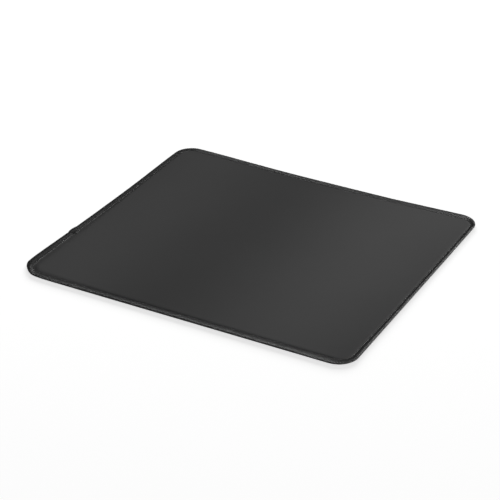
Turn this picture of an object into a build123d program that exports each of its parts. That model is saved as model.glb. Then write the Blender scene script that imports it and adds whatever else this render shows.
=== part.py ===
"""Stitched desk mat: cloth bonded to foam rubber, with a grip skin below and an overlocked edge.

The origin is at the middle of the underside. +X runs along the long sides, +Y across, +Z up.
A section through the edge is drawn with two numbers: the inset, measured inwards from the outer
edge of the stitching, and the height above the underside.
"""

import os

from build123d import *

# Outline of the mat, in millimetres
LENGTH = 450.0
WIDTH = 400.0
CORNER_RADIUS = 25.0

# Layers of the laminate, from the underside up
GRIP_THICKNESS = 0.4
FOAM_THICKNESS = 2.0
FILM_THICKNESS = 0.1
CLOTH_THICKNESS = 0.5
THICKNESS = GRIP_THICKNESS + FOAM_THICKNESS + FILM_THICKNESS + CLOTH_THICKNESS

# Overlocked band: insets of the features that run along it
CUT_INSET = 0.6
CROWN_INSET = 4.0
NEEDLE_INSET = 9.0
FLAT_INSET = 11.0
NEEDLE_THREAD_WIDTH = 0.6

# Heights of the squeezed laminate under the stitching
CUT_TOP = 2.2
CROWN_TOP = 2.85
NEEDLE_TOP = 2.1
BAND_UNDERSIDE = 0.4

# The sheath of looper thread that the stitches make round the edge
SHEATH = 0.35
EDGE_MIDDLE = THICKNESS / 2
NOSE_RADIUS = 1.15
NOSE_TURN = 75.0

# Where the stitching runs on over its own start, on the short side at -X
OVERLAP_CENTRE_Y = -80.0
OVERLAP_LENGTH = 25.0
OVERLAP_HEIGHT = 0.4
OVERLAP_BULGE = 0.4


def flat_point(inset, height):
    """A point of an edge section, drawn in the XZ plane from the corner arc's centre."""
    return (CORNER_RADIUS - inset, height)


def section_face(lines):
    """The upright face that a closed set of lines bounds."""
    outline = Curve() + lines
    return Plane.XZ * make_face(outline.edges())


def top_line(drop):
    """The laminate's top surface, moved down: over the crown, into the needle groove, up to the flat."""
    over_crown = ThreePointArc(
        flat_point(CUT_INSET, CUT_TOP - drop),
        flat_point(CROWN_INSET, CROWN_TOP - drop),
        flat_point(NEEDLE_INSET, NEEDLE_TOP - drop),
    )
    out_of_groove = Line(
        flat_point(NEEDLE_INSET, NEEDLE_TOP - drop),
        flat_point(FLAT_INSET, THICKNESS - drop),
    )
    return [over_crown, out_of_groove]


def underside_line(rise):
    """The laminate's underside, moved up: flat under the band, then down to the resting plane."""
    return [
        Polyline(
            flat_point(CUT_INSET, BAND_UNDERSIDE + rise),
            flat_point(NEEDLE_INSET, BAND_UNDERSIDE + rise),
            flat_point(FLAT_INSET, rise),
        )
    ]


def closed_section(lower, upper):
    """The face between two lines that run from the cut edge to the flat."""
    cut_edge = Line(lower[0] @ 0, upper[0] @ 0)
    inner_end = Line(lower[-1] @ 1, upper[-1] @ 1)
    return section_face([cut_edge, inner_end, *lower, *upper])


def around_edge(section):
    """Carry an edge section once round the mat: a straight run and a quarter turn for each side."""
    half_x = LENGTH / 2 - CORNER_RADIUS
    half_y = WIDTH / 2 - CORNER_RADIUS
    pieces = []
    for turn in range(4):
        out, along = (half_x, half_y) if turn % 2 == 0 else (half_y, half_x)
        run = extrude(section, amount=2 * along, dir=(0, 1, 0))
        corner = revolve(section, Axis.Z, revolution_arc=90)
        place = Rotation(0, 0, 90 * turn)
        pieces.append(place * Pos(out, -along, 0) * run)
        pieces.append(place * Pos(out, along, 0) * corner)
    return pieces


def layer(bottom, thickness, upper, lower):
    """One layer of the laminate: a flat plate, and its squeezed margin under the stitching."""
    plate_outline = RectangleRounded(
        LENGTH - 2 * FLAT_INSET,
        WIDTH - 2 * FLAT_INSET,
        CORNER_RADIUS - FLAT_INSET,
    )
    plate = Pos(0, 0, bottom) * extrude(plate_outline, amount=thickness)
    return plate + around_edge(closed_section(lower, upper))


def top_cloth():
    return layer(
        THICKNESS - CLOTH_THICKNESS,
        CLOTH_THICKNESS,
        top_line(0),
        top_line(CLOTH_THICKNESS),
    )


def bonding_film():
    return layer(
        GRIP_THICKNESS + FOAM_THICKNESS,
        FILM_THICKNESS,
        top_line(CLOTH_THICKNESS),
        top_line(CLOTH_THICKNESS + FILM_THICKNESS),
    )


def foam_core():
    return layer(
        GRIP_THICKNESS,
        FOAM_THICKNESS,
        top_line(CLOTH_THICKNESS + FILM_THICKNESS),
        underside_line(GRIP_THICKNESS),
    )


def grip_base():
    return layer(0, GRIP_THICKNESS, underside_line(GRIP_THICKNESS), underside_line(0))


def upper_sheath_section(extra_height=0.0, extra_bulge=0.0):
    """The thread sheath from the middle of the edge, up and over the crown to the needle groove."""
    round_edge = JernArc(
        flat_point(-extra_bulge, EDGE_MIDDLE),
        (0, 1),
        NOSE_RADIUS,
        NOSE_TURN,
    )
    over_crown = ThreePointArc(
        round_edge @ 1 + Vector(0, extra_height),
        flat_point(CROWN_INSET, CROWN_TOP + SHEATH + extra_height),
        flat_point(NEEDLE_INSET, NEEDLE_TOP + SHEATH + extra_height),
    )
    inner = top_line(0)[0]
    outline = [
        round_edge,
        over_crown,
        Line(over_crown @ 1, inner @ 1),
        inner,
        Polyline(
            inner @ 0,
            flat_point(CUT_INSET, EDGE_MIDDLE),
            round_edge @ 0,
        ),
    ]
    if extra_height > 0:
        outline.append(Line(round_edge @ 1, over_crown @ 0))
    return section_face(outline)


def lower_sheath_section(extra_bulge=0.0):
    """The thread sheath from the middle of the edge, round below it and in to the needle line."""
    down_edge = Line(
        flat_point(-extra_bulge, EDGE_MIDDLE),
        flat_point(-extra_bulge, NOSE_RADIUS),
    )
    round_edge = JernArc(down_edge @ 1, (0, -1), NOSE_RADIUS, -90)
    outline = [
        down_edge,
        round_edge,
        Polyline(
            round_edge @ 1,
            flat_point(NEEDLE_INSET, 0),
            flat_point(NEEDLE_INSET, BAND_UNDERSIDE),
            flat_point(CUT_INSET, BAND_UNDERSIDE),
            flat_point(CUT_INSET, EDGE_MIDDLE),
            down_edge @ 0,
        ),
    ]
    return section_face(outline)


def overlap_run(section):
    """A short straight run of a thicker section, where the stitching lies double."""
    run = extrude(section, amount=OVERLAP_LENGTH, dir=(0, 1, 0))
    out = LENGTH / 2 - CORNER_RADIUS
    at_plus_x = Pos(out, -OVERLAP_CENTRE_Y - OVERLAP_LENGTH / 2, 0) * run
    return Rotation(0, 0, 180) * at_plus_x


def upper_looper_thread():
    ring = Part() + around_edge(upper_sheath_section())
    return ring + overlap_run(upper_sheath_section(OVERLAP_HEIGHT, OVERLAP_BULGE))


def lower_looper_thread():
    ring = Part() + around_edge(lower_sheath_section())
    return ring + overlap_run(lower_sheath_section(OVERLAP_BULGE))


def needle_thread():
    """The row of needle stitches, as one closed bead that lies in the groove beside the sheath."""
    slope = (THICKNESS - NEEDLE_TOP) / (FLAT_INSET - NEEDLE_INSET)
    inner_inset = NEEDLE_INSET + NEEDLE_THREAD_WIDTH
    outline = Polyline(
        flat_point(NEEDLE_INSET, NEEDLE_TOP),
        flat_point(inner_inset, NEEDLE_TOP + slope * NEEDLE_THREAD_WIDTH),
        flat_point(inner_inset, NEEDLE_TOP + SHEATH),
        flat_point(NEEDLE_INSET, NEEDLE_TOP + SHEATH),
        close=True,
    )
    return Part() + around_edge(section_face([outline]))


NODES = {
    "top_cloth": top_cloth,
    "bonding_film": bonding_film,
    "foam_core": foam_core,
    "grip_base": grip_base,
    "needle_thread": needle_thread,
    "upper_looper_thread": upper_looper_thread,
    "lower_looper_thread": lower_looper_thread,
}

os.makedirs("parts", exist_ok=True)
for name, make in NODES.items():
    export_step(make(), f"parts/{name}.step")
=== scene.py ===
"""Looks of the stitched desk mat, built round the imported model."""

import math

import bpy
import numpy as np
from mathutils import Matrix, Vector


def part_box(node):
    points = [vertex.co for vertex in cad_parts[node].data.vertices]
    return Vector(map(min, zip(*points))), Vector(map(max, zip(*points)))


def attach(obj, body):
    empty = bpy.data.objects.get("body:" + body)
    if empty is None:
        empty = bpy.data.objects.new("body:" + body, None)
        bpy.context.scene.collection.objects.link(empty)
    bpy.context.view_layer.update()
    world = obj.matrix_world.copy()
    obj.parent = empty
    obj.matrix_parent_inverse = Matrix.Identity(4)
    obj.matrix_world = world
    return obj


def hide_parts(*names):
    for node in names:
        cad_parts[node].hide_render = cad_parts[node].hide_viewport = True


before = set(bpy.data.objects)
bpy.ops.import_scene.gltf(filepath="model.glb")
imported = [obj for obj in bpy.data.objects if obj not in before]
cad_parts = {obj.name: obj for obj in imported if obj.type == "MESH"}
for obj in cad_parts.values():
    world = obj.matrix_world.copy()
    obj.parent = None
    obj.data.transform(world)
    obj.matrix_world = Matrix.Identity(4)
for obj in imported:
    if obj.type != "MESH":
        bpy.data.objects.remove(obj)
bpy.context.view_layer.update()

MM = 0.001

# The mat as packed: the thread gives the outline, the cloth gives the thickness and the cut edge.
_, CLOTH_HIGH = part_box("top_cloth")
_, THREAD_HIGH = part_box("lower_looper_thread")
HALF_LENGTH = THREAD_HIGH[0]
HALF_WIDTH = THREAD_HIGH[1]
THICKNESS = CLOTH_HIGH[2]
EDGE_MIDDLE = THREAD_HIGH[2]
CUT_INSET = HALF_WIDTH - CLOTH_HIGH[1]

# Edge section, as insets from the outer edge and heights above the underside
CORNER_RADIUS = 25 * MM
CROWN_INSET = 3.5 * MM
NEEDLE_INSET = 9 * MM
FLAT_INSET = 10.5 * MM
CUT_TOP = 2.1 * MM
CROWN_TOP = 2.85 * MM
NEEDLE_TOP = 1.8 * MM
BAND_UNDERSIDE = 0.4 * MM
CLOTH_THICKNESS = 0.5 * MM
FILM_THICKNESS = 0.1 * MM
GRIP_THICKNESS = 0.4 * MM
LAYER_GAP = 0.01 * MM
UNDERSIDE_FLAT_INSET = FLAT_INSET + 1 * MM

# Stitches along each side of the mat, with one stitch about every 2.1 mm of the needle line
LONG_STITCHES = 190
SHORT_STITCHES = 166
CORNER_STITCHES = 12
ALL_STITCHES = 2 * (LONG_STITCHES + SHORT_STITCHES) + 4 * CORNER_STITCHES

# Unevenness of the hand-guided edge in mm. Each table has the sides +X, +Y, -X, -Y in the order in which
# the stitches run, and for each side the values at five evenly spaced places.
NO_CHANGE = (0.0, 0.0, 0.0, 0.0, 0.0)

# How wide the stitched band is
BAND_WIDTHS = [
    (6.2, 4.6, 4.5, 4.5, 4.8),
    (9.6, 9.8, 8.6, 8.0, 7.8),
    (6.8, 7.0, 7.6, 7.6, 10.0),
    (7.7, 7.3, 7.5, 8.0, 8.4),
]
# How far the rim curls up off the desk
RIM_LIFTS = [
    (0.0, 0.0, 0.0, 0.0, 0.4),
    (1.4, 0.2, 1.1, 1.3, 1.2),
    (0.0, 0.0, 0.3, 0.3, 0.5),
    NO_CHANGE,
]
# How far the edge bows outwards
EDGE_BOWS = [
    (0.6, 0.5, 0.5, 0.5, 0.5),
    NO_CHANGE,
    (0.0, 0.0, 0.2, 0.2, 1.2),
    (0.6, 0.6, 0.6, 0.6, 0.6),
]
# How much deeper than usual the needle line is pressed in
PRESSED_IN = [
    (-0.2, -0.3, -0.3, -0.3, -0.3),
    NO_CHANGE,
    (0.0, 0.1, 0.2, 0.45, 0.45),
    (0.3, 0.1, 0.1, 0.0, 0.0),
]
# How far the cloth slopes up from the needle line to the flat
SLOPE_RUNS = [
    (1.2, 1.0, 1.0, 1.0, 1.0),
    (1.6, 1.6, 1.6, 1.6, 1.6),
    (1.6, 1.8, 3.0, 5.6, 6.5),
    (3.0, 1.6, 1.5, 1.5, 1.5),
]

# How the mat lies: its back corner at -X lifts, its middle has a shallow hump, and its near corner at -X is
# drawn in. The hump's place and width are shares of the half length.
BACK_CORNER_LIFT = 6.0 * MM
BACK_CORNER_REACH = 130 * MM
HUMP_HEIGHT = 0.8 * MM
HUMP_PLACE = 0.25
HUMP_WIDTH = 0.35
DRAWN_IN = 4 * MM
DRAWN_IN_REACH = 24 * MM

# Where the stitching runs beneath its own start, on the short side at -X
OVERLAP_Y = -78 * MM
OVERLAP_STITCHES = 8
OVERLAP_RAISED = 0.5 * MM
OVERLAP_OUTWARDS = 1.1 * MM
OVERLAP_WIDER = 0.06
RUN_OUT_STITCHES = 7
RUN_OUT_INWARDS = 0.30
RUN_OUT_RAISED = 0.9 * MM

# Puckers along the needle line: a small dip at each hole, and the thread's uneven pull in waves
HOLE_DIP = 0.10 * MM
HOLE_INSET = NEEDLE_INSET + 0.2 * MM
HOLE_REACH = 0.8 * MM
PULL_WAVES = (23, 41, 67, 97, 131)
PULL_SIZES = (0.02 * MM, 0.05 * MM)
PULL_INSET = NEEDLE_INSET + 1.5 * MM
PULL_REACH = 3 * MM

# Threads: half-widths and half-heights of their flattened sections
LOOPER_SECTION = (0.53 * MM, 0.16 * MM)
NEEDLE_SECTION = (0.32 * MM, 0.26 * MM)

# The share of a stitch in which a looper thread goes out to the edge, and the share in which it comes back
WAY_OUT = (0.12, 0.34)
WAY_BACK = (0.66, 0.90)

# Unevenness of a looper thread: along the edge in stitches, in from the edge and in height in mm, and as a
# share of its width
STITCH_PLAY = 0.025
EDGE_PLAY = 0.05
HEIGHT_PLAY = 0.01
WIDTH_PLAY = 0.03

# How the needle thread lies beside the needle line and above it, and how unevenly
NEEDLE_INWARDS = 0.25 * MM
NEEDLE_RAISED = 0.12 * MM
NEEDLE_PLAY = 0.05 * MM

# Waves embossed in the grip skin, which fade out towards the edge
EMBOSSED_PITCH = 8.4 * MM
EMBOSSED_DEPTH = 0.12 * MM
EMBOSSED_SWAY = 0.8 * MM
EMBOSSED_INSET = FLAT_INSET + 6 * MM

# The camera, fitted to the outline in the photo: angles in degrees, lengths in metres and a lens in mm
CAMERA_AZIMUTH = 28.8
CAMERA_ELEVATION = 28.7
CAMERA_DISTANCE = 1.829
CAMERA_TARGET = (-0.0004, -0.0138, 0)
CAMERA_LENS = 104.8
CAMERA_SENSOR_WIDTH = 36


# ---------------------------------------------------------------- the edge and the lie of the mat


def edge_knots():
    """The stitch counts where runs and corners meet, with the arc's centre and the outward angle."""
    reach_x = HALF_LENGTH - CORNER_RADIUS
    reach_y = HALF_WIDTH - CORNER_RADIUS
    centres = [
        (reach_x, -reach_y),
        (reach_x, reach_y),
        (-reach_x, reach_y),
        (-reach_x, -reach_y),
    ]
    rows = []
    stitch = 0
    for turn in range(4):
        angle = turn * math.pi / 2
        rows.append((stitch, *centres[turn], angle))
        stitch += SHORT_STITCHES if turn % 2 == 0 else LONG_STITCHES
        rows.append((stitch, *centres[(turn + 1) % 4], angle))
        stitch += CORNER_STITCHES
    rows.append((stitch, *centres[0], 2 * math.pi))
    return np.array(rows).T


KNOTS = edge_knots()


def edge_place(stitch):
    """For stitch counts along the edge: the centre it is drawn from, and the outward direction."""
    around = np.mod(stitch, ALL_STITCHES)
    centre = np.stack([np.interp(around, KNOTS[0], KNOTS[k]) for k in (1, 2)], axis=-1)
    angle = np.interp(around, KNOTS[0], KNOTS[3])
    return centre, np.stack([np.cos(angle), np.sin(angle)], axis=-1)


def along_edge(table, stitch):
    """Values between those given for evenly spaced places along each side."""
    table = np.array(table)
    stations = np.linspace(KNOTS[0][0:8:2], KNOTS[0][1:8:2], table.shape[1]).T.reshape(-1)
    values = table.reshape(-1)
    stations = np.append(stations, ALL_STITCHES)
    values = np.append(values, values[0])
    return np.interp(np.mod(stitch, ALL_STITCHES), stations, values)


def on_edge(stitch, inset):
    """X and Y of points at an inset from the outer edge. Insets follow the band's width."""
    centre, outward = edge_place(stitch)
    wider = along_edge(BAND_WIDTHS, stitch) * MM - NEEDLE_INSET
    inset = inset + wider * np.interp(inset, [0, NEEDLE_INSET, 0.8 * CORNER_RADIUS], [0, 1, 0])
    bow = along_edge(EDGE_BOWS, stitch) * MM * np.clip(1 - inset / CORNER_RADIUS, 0, 1)
    return centre + outward * (CORNER_RADIUS - inset + bow)[..., None]


def smooth(start, end, value):
    """0 up to start, 1 from end on, and smooth between."""
    share = np.clip((value - start) / (end - start), 0, 1)
    return share * share * (3 - 2 * share)


def bump(centre, width, value):
    return np.exp(-(((value - centre) / width) ** 2))


def lift(x, y):
    """How far the open mat stands off the desk: a curled corner, and a shallow wave."""
    from_corner = (x + HALF_LENGTH) ** 2 + (y - HALF_WIDTH) ** 2
    back_corner = BACK_CORNER_LIFT * np.exp(-from_corner / BACK_CORNER_REACH**2)
    along = bump(HUMP_PLACE, HUMP_WIDTH, x / HALF_LENGTH)
    hump = HUMP_HEIGHT * along * (1 - (y / HALF_WIDTH) ** 2) ** 2
    return back_corner + hump


def laid(points, stitch, inset):
    """Flat-mat points, moved to where the mat lies."""
    placed = np.array(points, float)
    x, y = placed[..., 0], placed[..., 1]
    rim = along_edge(RIM_LIFTS, stitch) * MM * np.clip(1 - inset / CORNER_RADIUS, 0, 1) ** 3
    from_corner = np.hypot(x + HALF_LENGTH, y + HALF_WIDTH)
    drawn_in = DRAWN_IN * bump(0, DRAWN_IN_REACH, from_corner)
    placed[..., 2] += lift(x, y) + rim
    placed[..., 0] += drawn_in
    placed[..., 1] += drawn_in
    return placed


# ---------------------------------------------------------------- section of the squeezed margin


def margin_top(inset, stitch):
    """The laminate's top: over the crown, down at the needle line, then softly up to the flat."""
    needle_top = NEEDLE_TOP - along_edge(PRESSED_IN, stitch) * MM
    slope_run = along_edge(SLOPE_RUNS, stitch) * MM
    from_crown = (inset - CROWN_INSET) / (CROWN_INSET - CUT_INSET)
    outer = CROWN_TOP - (CROWN_TOP - CUT_TOP) * from_crown**2
    inner = CROWN_TOP - (CROWN_TOP - needle_top) * smooth(CROWN_INSET, NEEDLE_INSET, inset)
    rise = THICKNESS - (THICKNESS - needle_top) * bump(NEEDLE_INSET, slope_run, inset)
    return np.where(inset < CROWN_INSET, outer, np.where(inset < NEEDLE_INSET, inner, rise))


def margin_underside(inset):
    """The laminate's underside: raised over the band's thread, then down to the desk."""
    return BAND_UNDERSIDE * (1 - smooth(NEEDLE_INSET, UNDERSIDE_FLAT_INSET, inset))


def needle_dips(inset, stitch):
    """Small dips in the cloth's face at the needle holes."""
    at_holes = np.cos(math.pi * stitch) ** 4
    return HOLE_DIP * at_holes * bump(HOLE_INSET, HOLE_REACH, inset)


def thread_pull(inset, stitch):
    """The uneven pull of the thread, which puckers the laminate along the needle line."""
    rng = np.random.default_rng(11)
    pull = np.zeros_like(inset * stitch)
    for waves in PULL_WAVES:
        phase = rng.uniform(0, 2 * math.pi)
        size = rng.uniform(*PULL_SIZES)
        pull += size * np.sin(2 * math.pi * waves * stitch / ALL_STITCHES + phase)
    return pull * bump(PULL_INSET, PULL_REACH, inset)


def level(inset, stitch, below):
    """The height of a surface that is so far below the top in the flat. The margin squeezes it."""
    top = margin_top(inset, stitch) - thread_pull(inset, stitch)
    underside = margin_underside(inset)
    return top - (top - underside) * below / THICKNESS


# ---------------------------------------------------------------- meshes


class Build:
    """Collects points and faces for one mesh."""

    def __init__(self):
        self.points = []
        self.faces = []
        self.count = 0

    def add(self, points):
        points = np.asarray(points, float).reshape(-1, 3)
        self.points.append(points)
        start = self.count
        self.count += len(points)
        return np.arange(start, self.count)

    def zip_rings(self, inner, outer, up):
        """Faces between two closed rings. One may have several points for each of the other's."""
        many, few = (outer, inner) if len(outer) >= len(inner) else (inner, outer)
        ratio = len(many) // len(few)
        for k in range(len(few)):
            run = [many[j % len(many)] for j in range(k * ratio, (k + 1) * ratio + 1)]
            face = [few[k], *run, few[(k + 1) % len(few)]]
            face = [int(v) for n, v in enumerate(face) if v != face[n - 1]]
            if (many is outer) != up:
                face.reverse()
            if len(face) > 2:
                self.faces.append(face)

    def quads(self, a, b, c, d):
        self.faces += np.stack([a, b, c, d], axis=-1).reshape(-1, 4).tolist()

    def object(self, name, material):
        mesh = bpy.data.meshes.new(name)
        mesh.from_pydata(np.concatenate(self.points).tolist(), [], self.faces)
        mesh.update()
        mesh.shade_smooth()
        mesh.materials.append(material)
        piece = bpy.data.objects.new(name, mesh)
        bpy.context.scene.collection.objects.link(piece)
        return piece


GRID_STEP = 2  # stitches to one cell of the open middle


def middle(build, height, up):
    """The open middle as a grid, and its border in the order of the edge's stitches."""
    reach = on_edge(np.zeros(1), np.full(1, CORNER_RADIUS))[0] * (1, -1)
    xs = np.linspace(-reach[0], reach[0], LONG_STITCHES // GRID_STEP + 1)
    ys = np.linspace(-reach[1], reach[1], SHORT_STITCHES // GRID_STEP + 1)
    x, y = np.meshgrid(xs, ys, indexing="ij")
    inset = np.full_like(x, CORNER_RADIUS)
    z = height(inset, np.zeros_like(x), x, y)
    index = build.add(laid(np.stack([x, y, z], axis=-1), 0, inset)).reshape(x.shape)
    corners = [index[:-1, :-1], index[1:, :-1], index[1:, 1:], index[:-1, 1:]]
    build.quads(*(corners if up else corners[::-1]))
    stitch = np.arange(0, ALL_STITCHES, GRID_STEP)
    border = on_edge(stitch, np.full(len(stitch), CORNER_RADIUS))
    column = np.rint((border[:, 0] + reach[0]) / (xs[1] - xs[0])).astype(int)
    row = np.rint((border[:, 1] + reach[1]) / (ys[1] - ys[0])).astype(int)
    return index[column, row]


def face_of_layer(build, rings, height, up):
    """One face of a layer: the middle, then rings out to the cut edge.

    A ring is given as its inset and its number of points per stitch.
    """
    last = middle(build, height, up)
    for inset, density in rings:
        stitch = np.arange(0, ALL_STITCHES, 1 / density)
        insets = np.full_like(stitch, inset)
        xy = on_edge(stitch, insets)
        z = height(insets, stitch, xy[:, 0], xy[:, 1])
        ring = build.add(laid(np.column_stack([xy, z]), stitch, insets))
        build.zip_rings(last, ring, up)
        last = ring
    return last


COARSE = 1 / GRID_STEP
PLAIN_INSETS = (20, 16, 13.5, 12, 11, 10.2, 9.6, 9, 8, 6.5, 5, 3.5, 2)
PLAIN_RINGS = [
    *((inset * MM, COARSE) for inset in PLAIN_INSETS),
    (CUT_INSET, COARSE),
]
FINE_RINGS = [
    *((inset * MM, COARSE) for inset in (21, 17.5)),
    *((inset * MM, 1) for inset in (15, 13.5)),
    *((inset * MM, 4) for inset in (12.5, 11.7, 11, 10.4, 9.9, 9.5, 9.2, 8.9, 8.5)),
    *((inset * MM, 1) for inset in (7.5, 5, 3, 1.5)),
    (CUT_INSET, COARSE),
]


def layer(name, material, top, underside, top_rings=PLAIN_RINGS, underside_rings=PLAIN_RINGS):
    """A closed sheet of the laminate between two height functions."""
    build = Build()
    upper = face_of_layer(build, top_rings, top, up=True)
    lower = face_of_layer(build, underside_rings, underside, up=False)
    build.quads(lower, np.roll(lower, -1), np.roll(upper, -1), upper)
    return build.object(name, material)


# ---------------------------------------------------------------- thread


def tube(build, path, side, up, half_width, half_height, sides=6):
    """A flattened tube along a path, closed at both ends."""
    turn = np.arange(sides) * 2 * math.pi / sides
    ring = (
        side[:, None] * (np.cos(turn)[None, :, None] * half_width[:, None, None])
        + up[:, None] * (np.sin(turn)[None, :, None] * half_height[:, None, None])
    )
    index = build.add(path[:, None] + ring).reshape(len(path), sides)
    following = np.roll(index, -1, axis=1)
    build.quads(index[:-1], following[:-1], following[1:], index[1:])
    build.faces.append(index[0, ::-1].tolist())
    build.faces.append(index[-1].tolist())


def across(path, up):
    """For each point of a path: the direction to its side, at right angles to the path and to up."""
    side = np.cross(up, np.gradient(path, axis=0))
    return side / np.maximum(np.linalg.norm(side, axis=1), 1e-12)[:, None]


def start_stitch():
    """The stitch where the run starts, on the side at -X, half the overlap before its middle."""
    reach_y = HALF_WIDTH - CORNER_RADIUS
    middle_of_overlap = KNOTS[0][4] + (reach_y - OVERLAP_Y) / (2 * reach_y) * SHORT_STITCHES
    return middle_of_overlap - OVERLAP_STITCHES / 2


RUN_START = start_stitch()
RUN_LENGTH = ALL_STITCHES + OVERLAP_STITCHES


def on_top(count):
    """1 where the run's start lies on top of its end, else 0, for stitches counted from the start."""
    return smooth(-0.5, 4, count) * (1 - smooth(OVERLAP_STITCHES - 1, OVERLAP_STITCHES + 1.5, count))


def run_out(count):
    """0 along the run, rising to 1 at its end, where the last stitches run off the edge line."""
    return smooth(RUN_LENGTH - RUN_OUT_STITCHES, RUN_LENGTH, count)


def shifted(inset, count):
    """Insets of a thread, moved where the run lies on top of its end and where it runs out."""
    top = on_top(count)
    return inset * (1 + OVERLAP_WIDER * top + RUN_OUT_INWARDS * run_out(count))


# Thread centrelines across the band, from the needle line to the edge, as (inset, height) in mm
UPPER_SWEEP = [
    (9.0, 2.02),
    (8.0, 2.12),
    (6.8, 2.45),
    (5.4, 2.88),
    (3.9, 3.12),
    (2.4, 3.02),
    (1.2, 2.64),
    (0.5, 2.16),
    (0.18, 1.70),
    (0.12, 1.30),
]
LOWER_SWEEP = [
    (9.0, 0.32),
    (7.4, 0.22),
    (4.4, 0.21),
    (1.8, 0.22),
    (0.7, 0.50),
    (0.22, 1.05),
    (0.12, 1.62),
]

# One needle stitch: shares of its length, and heights over the needle line in mm
NEEDLE_STITCH = [
    (0.00, -0.30),
    (0.08, 0.00),
    (0.25, 0.25),
    (0.50, 0.32),
    (0.75, 0.25),
    (0.92, 0.00),
]


def looper_thread(name, material, sweep, out_of, seed):
    """One looper thread: out across the band and back again at every stitch."""
    rng = np.random.default_rng(seed)
    sweep = np.array(sweep) * MM
    both_ways = np.concatenate([sweep, sweep[::-1]])
    there = np.linspace(*WAY_OUT, len(sweep))
    back = np.linspace(*WAY_BACK, len(sweep))
    count = np.arange(RUN_LENGTH)[:, None] + out_of + np.concatenate([there, back])[None, :]
    count = count + rng.normal(0, STITCH_PLAY, (RUN_LENGTH, 1))
    inset = np.repeat(both_ways[None, :, 0], RUN_LENGTH, axis=0)
    height = np.repeat(both_ways[None, :, 1], RUN_LENGTH, axis=0)
    edge_play = rng.normal(0, EDGE_PLAY, (RUN_LENGTH, 1)) * MM
    inset = inset + edge_play * (1 - inset / NEEDLE_INSET)
    inner_share = smooth(CROWN_INSET, NEEDLE_INSET, inset)
    inset = shifted(inset, count) - OVERLAP_OUTWARDS * on_top(count)
    above = height > EDGE_MIDDLE
    raised = OVERLAP_RAISED * on_top(count) + RUN_OUT_RAISED * run_out(count) * inner_share
    height = height + raised * above + rng.normal(0, HEIGHT_PLAY, height.shape) * MM
    down_to_needle = smooth(CROWN_INSET, NEEDLE_INSET, inset)
    pressed_in = along_edge(PRESSED_IN, RUN_START + count) * MM
    height = height - pressed_in * down_to_needle * above
    count, inset, height = (a.reshape(-1) for a in (count, inset, height))
    stitch = RUN_START + count
    path = np.column_stack([on_edge(stitch, inset), height])
    _, outward = edge_place(stitch)
    facing = section_normal(both_ways, outward.reshape(RUN_LENGTH, -1, 2)).reshape(-1, 3)
    side = across(path, facing)
    width, thickness = LOOPER_SECTION
    half_width = width * (1 + WIDTH_PLAY * rng.standard_normal(len(path)))
    half_height = np.full(len(path), thickness)
    build = Build()
    tube(build, laid(path, stitch, inset), side, facing, half_width, half_height)
    return build.object(name, material)


def section_normal(section, outward):
    """Outward normals of a band section, for stitches with the given outward directions."""
    ahead = np.gradient(section, axis=0)
    middle_row = len(section) // 2
    ahead[middle_row:] *= -1
    ahead[middle_row - 1], ahead[middle_row] = ahead[middle_row - 2], ahead[middle_row + 1]
    over_top = 1 if section[:, 1].mean() > EDGE_MIDDLE else -1
    flat = over_top * np.stack([ahead[:, 1], -ahead[:, 0]], axis=-1)
    flat /= np.linalg.norm(flat, axis=1)[:, None]
    sideways = outward * flat[None, :, :1]
    upward = np.repeat(flat[None, :, 1:], len(outward), axis=0)
    return np.concatenate([sideways, upward], axis=-1)


def needle_thread(name, material):
    """The row of needle stitches: each lies along the groove and dips into the cloth at its holes."""
    rng = np.random.default_rng(5)
    share, rise = np.array(NEEDLE_STITCH).T
    count = (np.arange(RUN_LENGTH)[:, None] + share[None, :]).reshape(-1)
    stitch = RUN_START + count
    height = NEEDLE_TOP + np.tile(rise * MM, RUN_LENGTH) + NEEDLE_RAISED
    height = height + OVERLAP_RAISED * on_top(count) + RUN_OUT_RAISED * run_out(count)
    height = height - along_edge(PRESSED_IN, stitch) * MM
    side_play = NEEDLE_PLAY * rng.standard_normal(len(stitch))
    inset = shifted(NEEDLE_INSET + NEEDLE_INWARDS + side_play, count)
    path = np.column_stack([on_edge(stitch, inset), height])
    facing = np.tile([0.0, 0.0, 1.0], (len(path), 1))
    side = across(path, facing)
    half_width, half_height = (np.full(len(path), size) for size in NEEDLE_SECTION)
    build = Build()
    tube(build, laid(path, stitch, inset), side, facing, half_width, half_height)
    return build.object(name, material)


# ---------------------------------------------------------------- materials


def new_material(name):
    material = bpy.data.materials.new(name)
    material.use_nodes = True
    tree = material.node_tree
    shader = tree.nodes["Principled BSDF"]
    return material, tree, shader


def grey(value):
    return (value, value, value, 1)


def add_node(tree, kind, inputs=(), **settings):
    node = tree.nodes.new(kind)
    for key, value in settings.items():
        setattr(node, key, value)
    for key, value in dict(inputs).items():
        if isinstance(value, bpy.types.NodeSocket):
            tree.links.new(value, node.inputs[key])
        else:
            node.inputs[key].default_value = value
    return node


def object_place(tree):
    """Metres along the mat's own axes."""
    place = add_node(tree, "ShaderNodeTexCoord")
    return place.outputs["Object"]


def colour_between(tree, factor, low, high):
    mix = add_node(tree, "ShaderNodeMix", data_type="RGBA")
    tree.links.new(factor, mix.inputs["Factor"])
    mix.inputs["A"].default_value = low
    mix.inputs["B"].default_value = high
    return mix.outputs["Result"]


def noise(tree, place, scale, detail, distortion=0.0):
    made = add_node(
        tree,
        "ShaderNodeTexNoise",
        {"Vector": place, "Scale": scale, "Detail": detail, "Distortion": distortion},
    )
    return made.outputs["Fac"]


def add_relief(tree, shader, height, strength, depth):
    relief = add_node(
        tree,
        "ShaderNodeBump",
        {"Height": height, "Strength": strength, "Distance": depth},
    )
    tree.links.new(relief.outputs["Normal"], shader.inputs["Normal"])


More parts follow.
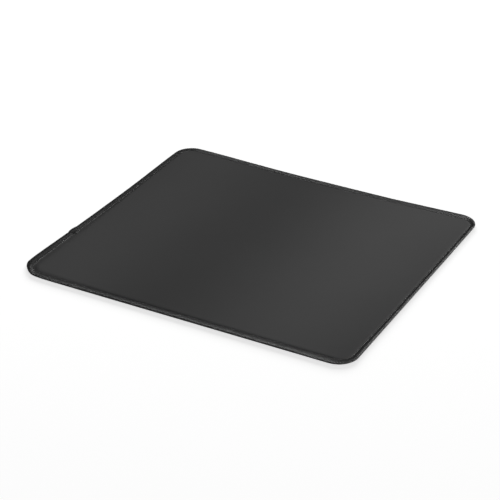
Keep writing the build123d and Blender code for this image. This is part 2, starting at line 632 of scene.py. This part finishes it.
def cloth_material():
    """Fine plain-weave polyester: crossed threads, soft mottling, and painted light and shade in the base
    colour.

    The painted shade makes the colour darker and lighter in broad bands across the mat, and lighter in two
    opposite quarters of it than in the other two.
    """
    material, tree, shader = new_material("mat_cloth")
    weave_pitch = 0.6 * MM
    place = object_place(tree)
    weave = []
    for direction in ("X", "Y"):
        wave = add_node(
            tree,
            "ShaderNodeTexWave",
            {"Vector": place, "Scale": math.pi / (10 * weave_pitch), "Distortion": 1.2, "Detail": 2.0},
            bands_direction=direction,
        )
        weave.append(wave.outputs["Fac"])
    crossed = add_node(tree, "ShaderNodeMath", {0: weave[0], 1: weave[1]}, operation="MULTIPLY")
    fibre = noise(tree, place, scale=2600.0, detail=3.0)
    mottle = noise(tree, place, scale=9.0, detail=3.0)
    # Painted shade and highlight: broad bands along X that make the cloth's base colour darker and lighter
    # across the mat
    painted_shade_bands = add_node(
        tree,
        "ShaderNodeTexWave",
        {
            "Vector": place,
            "Scale": 1.0,
            "Phase Offset": 0.6,
            "Distortion": 0.5,
            "Detail": 1.0,
            "Detail Scale": 0.5,
        },
        bands_direction="X",
    )
    # Mostly the painted shade bands, with a quarter of real random mottling
    shade_bands_and_mottle = add_node(tree, "ShaderNodeMix", {"Factor": 0.25, 2: painted_shade_bands.outputs["Fac"], 3: mottle})
    across_and_along = add_node(tree, "ShaderNodeSeparateXYZ", {"Vector": place})
    # Painted light and shade: the base colour grows lighter towards two opposite quarters of the mat and
    # darker towards the other two
    painted_quarter_shade = add_node(
        tree,
        "ShaderNodeMath",
        {0: across_and_along.outputs["X"], 1: across_and_along.outputs["Y"]},
        operation="MULTIPLY",
    )
    tone = add_node(
        tree,
        "ShaderNodeMath",
        {0: painted_quarter_shade.outputs[0], 1: 6.0, 2: shade_bands_and_mottle.outputs[0]},
        operation="MULTIPLY_ADD",
    )
    # The cloth's grey follows the painted shade and highlight, plus the mottling
    base = colour_between(tree, tone.outputs[0], grey(0.0118), grey(0.0196))
    tree.links.new(base, shader.inputs["Base Color"])
    rough = add_node(
        tree,
        "ShaderNodeMapRange",
        {"Value": fibre, "From Min": 0.3, "From Max": 0.7, "To Min": 0.86, "To Max": 0.98},
    )
    tree.links.new(rough.outputs["Result"], shader.inputs["Roughness"])
    height = add_node(tree, "ShaderNodeMath", {0: crossed.outputs[0], 1: fibre}, operation="ADD")
    add_relief(tree, shader, height.outputs[0], strength=0.35, depth=0.04 * MM)
    shader.inputs["Specular IOR Level"].default_value = 0.05
    shader.inputs["Sheen Weight"].default_value = 0.02
    shader.inputs["Sheen Roughness"].default_value = 0.5
    shader.inputs["Sheen Tint"].default_value = (1, 1, 1, 1)
    return material


def thread_material():
    """Textured polyester overlock thread: bulky twisted plies with a low sheen."""
    material, tree, shader = new_material("mat_thread")
    place = object_place(tree)
    fibre = noise(tree, place, scale=1500.0, detail=4.0, distortion=0.6)
    patch = noise(tree, place, scale=60.0, detail=2.0)
    blend = add_node(tree, "ShaderNodeMath", {0: fibre, 1: patch}, operation="MULTIPLY")
    tone = add_node(
        tree,
        "ShaderNodeMapRange",
        {"Value": blend.outputs[0], "From Min": 0.12, "From Max": 0.42, "To Min": 0.0, "To Max": 1.0},
    )
    base = colour_between(tree, tone.outputs["Result"], grey(0.004), grey(0.007))
    tree.links.new(base, shader.inputs["Base Color"])
    add_relief(tree, shader, fibre, strength=0.35, depth=0.06 * MM)
    shader.inputs["Roughness"].default_value = 0.43
    shader.inputs["Specular IOR Level"].default_value = 0.46
    shader.inputs["Sheen Weight"].default_value = 0.02
    shader.inputs["Sheen Roughness"].default_value = 0.4
    return material


def rubber_material(name, tone_low, tone_high, cell_scale, roughness):
    """Black rubber with fine cells."""
    material, tree, shader = new_material(name)
    place = object_place(tree)
    cells = add_node(tree, "ShaderNodeTexVoronoi", {"Vector": place, "Scale": cell_scale})
    base = colour_between(tree, cells.outputs["Distance"], grey(tone_low), grey(tone_high))
    tree.links.new(base, shader.inputs["Base Color"])
    add_relief(tree, shader, cells.outputs["Distance"], strength=0.4, depth=0.05 * MM)
    shader.inputs["Roughness"].default_value = roughness
    return material


def film_material():
    """Milky hot-melt film with a fine melt texture."""
    material, tree, shader = new_material("mat_film")
    place = object_place(tree)
    melt = noise(tree, place, scale=300.0, detail=2.0)
    base = colour_between(tree, melt, (0.52, 0.52, 0.50, 1), (0.66, 0.66, 0.63, 1))
    tree.links.new(base, shader.inputs["Base Color"])
    shader.inputs["Roughness"].default_value = 0.35
    return material


# ---------------------------------------------------------------- pieces


def make_cloth():
    def top(inset, stitch, x, y):
        return level(inset, stitch, 0) - needle_dips(inset, stitch)

    def underside(inset, stitch, x, y):
        return level(inset, stitch, CLOTH_THICKNESS)

    piece = layer("cloth_sheet", cloth_material(), top, underside, FINE_RINGS, PLAIN_RINGS)
    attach(piece, "root")
    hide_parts("top_cloth")


def make_film():
    def top(inset, stitch, x, y):
        return level(inset, stitch, CLOTH_THICKNESS + LAYER_GAP)

    def underside(inset, stitch, x, y):
        return level(inset, stitch, CLOTH_THICKNESS + FILM_THICKNESS)

    piece = layer("film_sheet", film_material(), top, underside)
    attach(piece, "root")
    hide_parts("bonding_film")


def make_foam():
    def top(inset, stitch, x, y):
        return level(inset, stitch, CLOTH_THICKNESS + FILM_THICKNESS + LAYER_GAP)

    def underside(inset, stitch, x, y):
        return level(inset, stitch, THICKNESS - GRIP_THICKNESS - LAYER_GAP)

    material = rubber_material(
        "mat_foam", tone_low=0.012, tone_high=0.03, cell_scale=2200.0, roughness=0.9
    )
    piece = layer("foam_sheet", material, top, underside)
    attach(piece, "root")
    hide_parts("foam_core")


def make_grip():
    def top(inset, stitch, x, y):
        return level(inset, stitch, THICKNESS - GRIP_THICKNESS)

    def underside(inset, stitch, x, y):
        sway = EMBOSSED_SWAY * np.sin(2 * math.pi * y / (3 * EMBOSSED_PITCH))
        wave = np.sin(2 * math.pi * (x + sway) / EMBOSSED_PITCH)
        inside = smooth(UNDERSIDE_FLAT_INSET, EMBOSSED_INSET, inset)
        return margin_underside(inset) + EMBOSSED_DEPTH * (1 + wave) * inside

    material = rubber_material(
        "mat_grip", tone_low=0.010, tone_high=0.024, cell_scale=900.0, roughness=0.55
    )
    piece = layer("grip_sheet", material, top, underside)
    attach(piece, "root")
    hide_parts("grip_base")


def make_threads():
    material = thread_material()
    made = [
        (looper_thread("thread_upper", material, UPPER_SWEEP, 0.0, 7), "upper_looper_thread"),
        (looper_thread("thread_lower", material, LOWER_SWEEP, 0.5, 9), "lower_looper_thread"),
        (needle_thread("thread_needle", material), "needle_thread"),
    ]
    for piece, node in made:
        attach(piece, "root")
        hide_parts(node)


# ---------------------------------------------------------------- studio


def aim(thing, place, target):
    thing.location = place
    thing.rotation_euler = (Vector(target) - Vector(place)).to_track_quat("-Z", "Y").to_euler()


def direction(azimuth, elevation):
    """The direction of an azimuth (0 is -Y, 90 is +X) and an elevation, in degrees."""
    a, e = math.radians(azimuth), math.radians(elevation)
    return Vector((math.sin(a) * math.cos(e), -math.cos(a) * math.cos(e), math.sin(e)))


def make_camera():
    camera = bpy.data.objects.new("camera", bpy.data.cameras.new("camera"))
    bpy.context.scene.collection.objects.link(camera)
    camera.data.lens = CAMERA_LENS
    camera.data.sensor_width = CAMERA_SENSOR_WIDTH
    target = Vector(CAMERA_TARGET)
    aim(camera, target + direction(CAMERA_AZIMUTH, CAMERA_ELEVATION) * CAMERA_DISTANCE, target)
    bpy.context.scene.camera = camera


def make_softbox(name, azimuth, elevation, distance, size, power):
    light = bpy.data.lights.new(name, "AREA")
    light.shape = "RECTANGLE"
    light.size, light.size_y = size
    light.energy = power
    lamp = bpy.data.objects.new(name, light)
    bpy.context.scene.collection.objects.link(lamp)
    aim(lamp, direction(azimuth, elevation) * distance, (0, 0, 0))
    return lamp


def make_floor():
    bpy.ops.mesh.primitive_plane_add(size=60, location=(0, 0, -0.1 * MM))
    floor = bpy.context.object
    floor.name = "floor"
    material, _, shader = new_material("floor_white")
    shader.inputs["Base Color"].default_value = grey(0.86)
    shader.inputs["Roughness"].default_value = 1.0
    shader.inputs["Specular IOR Level"].default_value = 0.0
    shader.inputs["Emission Color"].default_value = grey(1)
    shader.inputs["Emission Strength"].default_value = 0.69
    floor.data.materials.append(material)
    return floor


def link_light(lamps, floor, state):
    """Let lamps light the floor alone (INCLUDE), or everything but the floor (EXCLUDE)."""
    receivers = bpy.data.collections.new(state.lower() + "_floor")
    receivers.objects.link(floor)
    receivers.collection_objects[0].light_linking.link_state = state
    for lamp in lamps:
        lamp.light_linking.receiver_collection = receivers


def make_studio():
    scene = bpy.context.scene
    scene.view_settings.view_transform = "Standard"
    scene.view_settings.look = "None"
    scene.world = bpy.data.worlds.new("studio")
    scene.world.use_nodes = True
    background = scene.world.node_tree.nodes["Background"]
    background.inputs["Color"].default_value = grey(1)
    background.inputs["Strength"].default_value = 0.10
    overhead = make_softbox(
        "overhead_softbox", azimuth=104, elevation=62, distance=2.4, size=(0.96, 0.72), power=92
    )
    low_side = make_softbox(
        "side_softbox", azimuth=108, elevation=18, distance=2.4, size=(0.7, 0.36), power=136
    )
    behind = make_softbox(
        "floor_softbox", azimuth=204, elevation=13, distance=6, size=(4.4, 1.4), power=500
    )
    floor = make_floor()
    link_light([behind], floor, "INCLUDE")
    link_light([overhead, low_side], floor, "EXCLUDE")


make_camera()
make_cloth()
make_film()
make_foam()
make_grip()
make_threads()
make_studio()
